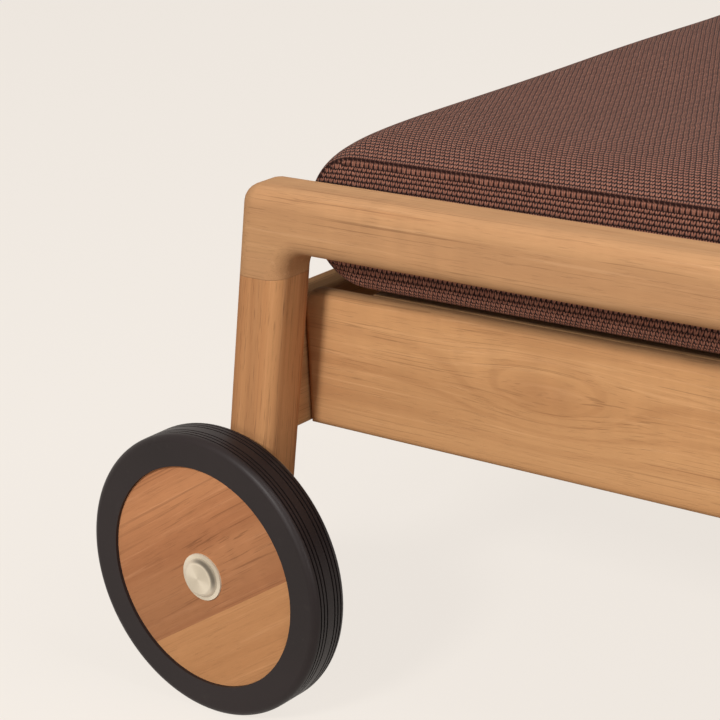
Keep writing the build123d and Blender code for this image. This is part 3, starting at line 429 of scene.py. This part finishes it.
def paint_nodes():
    """Gives every carried-over node its material."""
    splay = math.atan2(1, LEG_SPLAY)
    rail = {"light": (193, 146, 102), "mid": (186, 139, 97), "dark": (154, 104, 66)}
    apron = {"light": (199, 149, 101), "mid": (187, 137, 91), "dark": (156, 105, 65)}
    # Painted shadow: the photograph has a shadow on the side board's top edge, so the wood itself is
    # darkened there.
    painted_shadow_top_edge = ((0, 0, -1), -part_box("apron_right")[1].z, 0.006, 0.55)
    leg = {"light": (198, 144, 96), "mid": (180, 124, 80), "dark": (143, 90, 55)}
    slat = {"light": (200, 150, 102), "mid": (184, 130, 86), "dark": (150, 98, 60)}
    plank = {"light": (192, 132, 89), "mid": (178, 118, 78), "dark": (138, 84, 52)}
    lower = {"light": (194, 139, 92), "mid": (185, 130, 84), "dark": (160, 106, 66)}
    # Painted shade: the stiles take a darker copy of the slats' teak, for the shade on the panel top under
    # the cushion.
    stile = {"light": (156, 117, 78), "mid": (138, 100, 65), "dark": (106, 72, 44)}
    materials = {}
    for side, k in SIDES.items():
        materials["side_rail_" + side] = teak("rail_teak_" + side, "x", 2.0 + k, rings=0.15, streak=0.5,
                                              lines=0.4, **rail)
        knot = KNOT if side == "right" else None
        materials["apron_" + side] = teak("apron_teak_" + side, "x", 5.0 + k, rings=0.4, streak=0.45,
                                          lines=0.35, knot=knot, fade=painted_shadow_top_edge, **apron)
        for end, angle, seed in (("head", splay, 8.0), ("foot", math.pi - splay, 11.0)):
            node = end + "_leg_" + side
            materials[node] = teak(end + "_leg_teak_" + side, angle, seed + k, rings=0.5, **leg)
        for part in ("seat_slats_", "backrest_slats_"):
            node = part + side
            materials[node] = teak(node + "_teak", "y", 14.0 + k, cells=board_cells(node, "X"), **slat)
        stile_cells = ("Y", k * 0.3 - 0.15, 0.3)
        materials["backrest_stiles_" + side] = teak("backrest_stile_teak_" + side, "x", 17.0 + k,
                                                    cells=stile_cells, **stile)
        materials["backrest_rails_" + side] = teak("backrest_rail_teak_" + side, "y", 20.0 + k, **slat)
        materials["tyre_" + side] = rubber() if side == "right" else materials["tyre_right"]
        materials["hub_cap_" + side] = turned_metal() if side == "right" else materials["hub_cap_right"]
    materials["head_cross_rail"] = teak("head_rail_teak", "y", 23.0, **apron)
    materials["foot_cross_rail"] = teak("foot_rail_teak", "y", 26.0, **apron)
    materials["centre_beam"] = teak("beam_teak", "x", 29.0, **apron)
    materials["hinge_rails"] = teak("hinge_rail_teak", "y", 32.0, **apron)
    wide_cells = ("Y", -0.7, 0.2)
    # Painted shade: the seat stiles take the darker stile teak.
    materials["seat_stiles"] = teak("seat_stile_teak", "x", 35.0, cells=wide_cells, **stile)
    materials["prop_racks"] = teak("rack_teak", "x", 38.0, cells=wide_cells, **slat)
    materials["frame_dowels"] = teak("dowel_teak", "x", 41.0, **slat)
    plain_steel = steel("stainless")
    plate_steel = steel("stainless_plate", along=(900, 9, 900))
    plastic = nylon()
    for name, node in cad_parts.items():
        if name in materials:
            chosen = materials[name]
        elif name.startswith(("wheel_bush", "foot_glides")):
            chosen = plastic
        elif name.startswith(("prop_brackets", "hinge_", "prop_arms")):
            chosen = plate_steel
        elif not name.startswith(("seat_pad", "back_pad", "cushion_fold")):
            chosen = plain_steel
        else:
            continue
        node.data.materials.clear()
        node.data.materials.append(chosen)
    for side, k in SIDES.items():
        paint_wheel(side, k, plank, lower)


def paint_wheel(side, k, upper, lower):
    """Both planks of a wheel: the upper one is redder, and darkest near the glue line."""
    out = Vector((-math.sin(PLANK_ANGLE), 0, math.cos(PLANK_ANGLE)))
    glue = AXLE.dot(out) - PLANK_JOINT_DROP
    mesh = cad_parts["wheel_planks_" + side].data
    mesh.materials.clear()
    mesh.materials.append(teak("upper_plank_teak_" + side, PLANK_ANGLE, 44.0 + k, rings=0.2, streak=0.3,
                               lines=0.4, fade=(out, glue, 0.09, 0.78), **upper))
    mesh.materials.append(teak("lower_plank_teak_" + side, PLANK_ANGLE, 50.0 + k, rings=0.2, streak=0.25,
                               lines=0.2, **lower))
    for face in mesh.polygons:
        face.material_index = 0 if face.center.dot(out) > glue else 1


def swell(depth, reach):
    """How far a cushion has swelled out at a depth in from its side panel, from 0 to 1."""
    return min(1.0, (1 - math.exp(-depth / reach)) / (1 - math.exp(-FULL_REACHES)))


def base_rise(depth, middle):
    """Height of the underside above the slats: it rolls in from the side panel, then sinks slowly."""
    belly = BELLY_RISE * max(0.0, math.exp(-depth / BELLY_REACH) - math.exp(-middle / BELLY_REACH))
    inside = max(0.0, LOWER_ROLL - depth)
    return belly + LOWER_ROLL - math.sqrt(LOWER_ROLL ** 2 - inside ** 2)


def graded(length, pitch):
    """Places across a length, closer together near both ends."""
    near = np.array(EDGE_PLACES)
    steps = int(round((length - 2 * INNER_START) / pitch))
    inner = np.linspace(INNER_START, length - INNER_START, steps + 1)
    return np.concatenate([near, inner, length - near[::-1]])


def edge_curve(x_low, x_high, z, radius, toward):
    """Upper or lower edge of a cushion seen from its side, rounded at both ends."""
    turn = np.linspace(0, math.pi / 2, ARC_STEPS + 1)
    x_in, z_in = radius * (1 - np.cos(turn)), toward * radius * (1 - np.sin(turn))
    middle = np.linspace(x_low + radius, x_high - radius, LENGTH_STEPS + 1)[1:-1]
    x = np.concatenate([x_low + x_in, middle, x_high - x_in[::-1]])
    return x, np.concatenate([z + z_in, np.full(len(middle), z), z + z_in[::-1]])


def cushion_grid(low, high):
    """Places by three counts, along, across and up, of a cushion with rounded ends and flat side panels."""
    across = graded(high.y - low.y, INNER_PITCH)
    rises = graded(1.0, RISE_PITCH_SHARE)
    rises = (rises - rises[0]) / (rises[-1] - rises[0])
    columns = []
    for depth in np.minimum(across, across[::-1]):
        grown, end_in = swell(depth, CROWN_REACH), (1 - swell(depth, END_REACH)) * END_SWELL
        x_low, x_high = low.x + end_in, high.x - end_in
        z_high = low.z + SEAM_HEIGHT + grown * (high.z - low.z - SEAM_HEIGHT)
        z_low = low.z + base_rise(depth, across[-1] / 2)
        top = np.stack(edge_curve(x_low, x_high, z_high, SEAM_NOSE + grown * (NOSE - SEAM_NOSE), -1), -1)
        base = np.stack(edge_curve(x_low, x_high, z_low, BASE_NOSE, 1), -1)
        columns.append(base[:, None] + rises[None, :, None] * (top - base)[:, None])
    columns = np.stack(columns, 1)
    y = np.broadcast_to((low.y + across)[None, :, None], columns.shape[:3])
    return np.stack([columns[..., 0], y, columns[..., 1]], -1)


def walked(places, axis):
    """Distance walked along one count of a grid."""
    steps = np.linalg.norm(np.diff(places, axis=axis), axis=-1)
    start = np.zeros_like(np.take(steps, [0], axis))
    return np.concatenate([start, np.cumsum(steps, axis)], axis)


def seam_distance(x, z, low, high):
    """Distance from a point of a side panel to the seam over its top and down its ends."""
    x_low, x_high, z_high = low.x + END_SWELL, high.x - END_SWELL, low.z + SEAM_HEIGHT
    end = np.minimum(x - x_low, x_high - x)
    bent = SEAM_NOSE - np.hypot(SEAM_NOSE - end, z - z_high + SEAM_NOSE)
    in_bend = (end < SEAM_NOSE) & (z > z_high - SEAM_NOSE)
    return np.where(in_bend, bent, np.minimum(end, z_high - z))


def cloth_of(grid, low, high):
    """Coordinates of the cover on each panel: along, across, and the distance from the seam.

    The distance is negative on the side panels and the base, whose cloth lies the other way."""
    cloth = {}
    x, z = grid[..., 0], grid[..., 2]
    along = walked(grid[:, :, -1], 0)
    along = along - along[len(along) // 2]
    down = z[:, :, -1:] - z
    across = walked(grid, 1)
    seamless = np.clip((low.z + SEAMLESS_HEIGHT - z) / SEAMLESS_FADE, 0, 1)
    edge = np.minimum(across, across[:, -1:] - across) + seamless
    cloth["top"] = np.stack([along, across[:, :, -1], edge[:, :, -1]], -1)
    cloth["head"] = np.stack([along[0][:, None] - down[0], across[0], edge[0]], -1)
    cloth["foot"] = np.stack([along[-1][:, None] + down[-1], across[-1], edge[-1]], -1)
    below = z - low.z - SEAM_HEIGHT
    side = np.stack([x, below, -np.maximum(seam_distance(x, z, low, high), 0) - seamless], -1)
    cloth["near"], cloth["far"] = side[:, 0], side[:, -1]
    base = below[:, :1, 0] - across[:, :, 0]
    cloth["base"] = np.stack([x[:, :, 0], base, np.full_like(base, -1.0)], -1)
    return cloth


def panel_numbers(numbers):
    """The counts of each panel's points, turned so that its faces look out."""
    return {"top": numbers[:, :, -1], "base": numbers[:, :, 0].T, "head": numbers[0].T,
            "foot": numbers[-1], "near": numbers[:, 0], "far": numbers[:, -1].T}


def cushion_mesh(name, low, high, seed):
    """Closed mesh of one cushion, with the cover's coordinates at each face corner."""
    grid = cushion_grid(low, high)
    shape = grid.shape[:3]
    shell = np.zeros(shape, bool)
    shell[[0, -1]] = shell[:, [0, -1]] = shell[:, :, [0, -1]] = True
    numbers = np.where(shell, np.cumsum(shell).reshape(shape) - 1, -1)
    cloth = cloth_of(grid, low, high)
    faces, corners = [], []
    for panel, ids in panel_numbers(numbers).items():
        values = cloth[panel] if panel in ("top", "foot", "near") else cloth[panel].transpose(1, 0, 2)
        for source, target in ((ids, faces), (values, corners)):
            quads = np.stack([source[:-1, :-1], source[1:, :-1], source[1:, 1:], source[:-1, 1:]], 2)
            target.append(quads.reshape((-1, 4) + source.shape[2:]))
    points = shaped(grid[shell], low, high, seed)
    mesh = bpy.data.meshes.new(name)
    mesh.from_pydata(points.tolist(), [], np.concatenate(faces).tolist())
    values = np.concatenate(corners).astype(np.float32)
    mesh.attributes.new("cloth", "FLOAT_VECTOR", "CORNER").data.foreach_set("vector", values.reshape(-1))
    mesh.update()
    piece = bpy.data.objects.new(name, mesh)
    bpy.context.scene.collection.objects.link(piece)
    return piece


def waves(x, y, seed, longest, shortest, count=10):
    """Slow uneven swell between -1 and 1, the same on each run."""
    chance = np.random.default_rng(seed)
    total = np.zeros_like(x)
    for _ in range(count):
        turn, shift = chance.uniform(0, 2 * math.pi, 2)
        wave = 2 * math.pi / chance.uniform(shortest, longest)
        total += np.sin((x * math.cos(turn) + y * math.sin(turn)) * wave + shift)
    return total * 2 / count


def side_bulge(depth, z, low):
    """How far a side panel stands out, most at its middle height."""
    height = np.clip((z - low.z) / SEAM_HEIGHT, 0, 1)
    return SIDE_BULGE * np.sin(math.pi * height) * np.exp(-depth / BULGE_REACH)


def shaped(points, low, high, seed):
    """Draws the sides in, stuffs the cushion a little unevenly and lifts its underside over the hinge."""
    x, y, z = points.T
    half_x, half_y = (high.x - low.x) / 2, (high.y - low.y) / 2
    x_share, y_share = (x - low.x) / half_x - 1, (y - low.y) / half_y - 1
    depth = np.minimum(y - low.y, high.y - y)
    raised = np.clip((z - low.z - SEAM_HEIGHT) / (high.z - low.z - SEAM_HEIGHT), 0, 1)
    inner = 1 - np.exp(-depth / STUFFING_REACH)
    z = z + raised * (STUFFING * inner * waves(x, y, seed, *STUFFING_WAVES) - SETTLING)
    puckers = waves(x, y * PUCKER_WIDTH_SHARE, seed + 1, *PUCKER_WAVES)
    z = z + raised * PUCKER * np.exp(-depth / PUCKER_REACH) * puckers
    y = y + side_bulge(depth, z, low) * np.sign(y_share)
    near = np.clip(1 - np.abs(x - HINGE_X) / ARCH_HALF, 0, 1)
    lift = ARCH_RISE * near * near * (3 - 2 * near)
    z = z + lift * (1 - np.clip((z - low.z) / SEAM_HEIGHT, 0, 1)) ** 2
    y = y - y_share * DRAW_IN * (1 - np.clip(x_share, -1, 1) ** 2)
    return np.stack([x, y, z], -1)


def apply_modifiers(piece):
    """Replaces a piece's mesh by what its modifiers make of it."""
    depsgraph = bpy.context.evaluated_depsgraph_get()
    shown = piece.evaluated_get(depsgraph)
    mesh = bpy.data.meshes.new_from_object(shown, preserve_all_data_layers=True, depsgraph=depsgraph)
    piece.modifiers.clear()
    old, piece.data = piece.data, mesh
    bpy.data.meshes.remove(old)


def sink_seam(piece, depth):
    """Pulls the seam's own points in, to a narrow groove between the cover and a side panel."""
    mesh = piece.data
    count = len(mesh.loops)
    cloth, owner = np.zeros(count * 3, np.float32), np.zeros(count, np.int32)
    mesh.attributes["cloth"].data.foreach_get("vector", cloth)
    mesh.loops.foreach_get("vertex_index", owner)
    co, normals = np.zeros(len(mesh.vertices) * 3, np.float32), np.zeros(len(mesh.vertices) * 3, np.float32)
    mesh.vertices.foreach_get("co", co)
    mesh.vertices.foreach_get("normal", normals)
    seam = np.unique(owner[np.abs(cloth.reshape(-1, 3)[:, 2]) < SEAM_TOUCH])
    co, normals = co.reshape(-1, 3), normals.reshape(-1, 3)
    co[seam] -= normals[seam] * depth
    mesh.vertices.foreach_set("co", co.reshape(-1))
    mesh.update()


def make_cushions():
    """One continuous cushion on each half, over the back, the fold and the seat."""
    cover = outdoor_weave()
    for side, k in SIDES.items():
        boxes = [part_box(part + side) for part in ("back_pad_", "seat_pad_")]
        low = Vector([min(b[0][n] for b in boxes) for n in range(3)])
        high = Vector([max(b[1][n] for b in boxes) for n in range(3)])
        piece = cushion_mesh("cushion_" + side, low, high, 20 + k)
        piece.data.materials.append(cover)
        smooth = piece.modifiers.new("smooth", "SUBSURF")
        smooth.levels = smooth.render_levels = 1
        apply_modifiers(piece)
        sink_seam(piece, SEAM_SINK)
        piece.data.polygons.foreach_set("use_smooth", [True] * len(piece.data.polygons))
        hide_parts("back_pad_" + side, "cushion_fold_" + side, "seat_pad_" + side)
        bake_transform(piece)


def make_camera():
    """Camera where the photograph was taken from."""
    forward = Vector(CAMERA_FORWARD).normalized()
    right = Vector(CAMERA_RIGHT)
    up = right.cross(forward).normalized()
    right = forward.cross(up)
    camera = bpy.data.objects.new("camera", bpy.data.cameras.new("camera"))
    camera.data.sensor_width = 36.0
    camera.data.lens = CAMERA_LENS
    place = Matrix((right, up, -forward)).transposed().to_4x4()
    place.translation = CAMERA_PLACE
    camera.matrix_world = place
    bpy.context.scene.collection.objects.link(camera)
    bpy.context.scene.camera = camera


def seen_directly(nodes, links):
    """Socket that is 1 for what the camera, a reflection or a glass sees."""
    path = nodes.new("ShaderNodeLightPath")
    total = path.outputs["Is Camera Ray"]
    for name in ("Is Glossy Ray", "Is Transmission Ray"):
        add = nodes.new("ShaderNodeMath")
        add.operation = "MAXIMUM"
        links.new(total, add.inputs[0])
        links.new(path.outputs[name], add.inputs[1])
        total = add.outputs[0]
    return total


def make_floor():
    """Plain pale floor that keeps a soft shadow."""
    mesh = bpy.data.meshes.new("floor")
    reach = 14.0
    corners = [(x * reach, y * reach, 0) for x, y in ((-1, -1), (1, -1), (1, 1), (-1, 1))]
    mesh.from_pydata(corners, [], [(0, 1, 2, 3)])
    floor = bpy.data.objects.new("floor", mesh)
    bpy.context.scene.collection.objects.link(floor)
    m = Shader("pale_floor")
    paint = shade(*BACKGROUND)
    lit = m.add("BsdfDiffuse", {"Color": paint}).outputs[0]
    pale = [c * FLOOR_GLOW for c in paint[:3]] + [1.0]
    glow = m.add("Emission", {"Color": pale, "Strength": 1.0}).outputs[0]
    blend = m.add("MixShader", {0: FLOOR_SHADOW, 1: glow, 2: lit}).outputs[0]
    muted = m.add("BsdfDiffuse", {"Color": shade(*FLOOR_BOUNCE)}).outputs[0]
    final = m.add("MixShader", {0: seen_directly(m.nodes, m.links), 1: muted, 2: blend}).outputs[0]
    m.links.new(final, m.output.inputs[0])
    mesh.materials.append(m.material)


def make_world():
    """Even soft light from all round, and the pale background behind."""
    world = bpy.data.worlds.new("studio")
    bpy.context.scene.world = world
    world.use_nodes = True
    nodes, links = world.node_tree.nodes, world.node_tree.links
    nodes.clear()
    output = nodes.new("ShaderNodeOutputWorld")
    soft = nodes.new("ShaderNodeBackground")
    soft.inputs["Color"].default_value = (1.0, 0.985, 0.965, 1.0)
    soft.inputs["Strength"].default_value = 0.16
    seen = nodes.new("ShaderNodeBackground")
    seen.inputs["Color"].default_value = shade(*BACKGROUND)
    seen.inputs["Strength"].default_value = 1.0
    mix = nodes.new("ShaderNodeMixShader")
    links.new(seen_directly(nodes, links), mix.inputs[0])
    links.new(soft.outputs[0], mix.inputs[1])
    links.new(seen.outputs[0], mix.inputs[2])
    links.new(mix.outputs[0], output.inputs[0])


def area_light(name, place, target, size, level, colour=(1, 1, 1)):
    """Soft box that gives a level of light at its target: 1 shows a facing colour as it is written."""
    data = bpy.data.lights.new(name, "AREA")
    data.shape = "RECTANGLE"
    data.size, data.size_y = size
    data.color = colour
    direction = Vector(target) - Vector(place)
    data.energy = level * math.pi ** 2 * direction.length_squared
    light = bpy.data.objects.new(name, data)
    light.location = place
    light.rotation_euler = direction.to_track_quat("-Z", "Y").to_euler()
    bpy.context.scene.collection.objects.link(light)


def make_lights():
    """Four soft boxes, all turned to the corner that the photograph shows."""
    target = (-0.85, -0.6, 0.3)
    area_light("key", (-0.29, -4.16, 2.53), target, (0.8, 0.6), 0.70, (1.0, 0.985, 0.965))
    area_light("front", (-0.6, -4.6, 0.7), target, (3.6, 1.2), 0.16)
    area_light("side", (3.4, -1.8, 1.0), target, (2.2, 1.4), 0.18)
    area_light("top", (1.3, -0.4, 2.9), target, (1.8, 1.8), 0.56)


make_camera()
make_world()
make_lights()
make_floor()
paint_nodes()
make_cushions()
bpy.context.scene.view_settings.view_transform = "Standard"
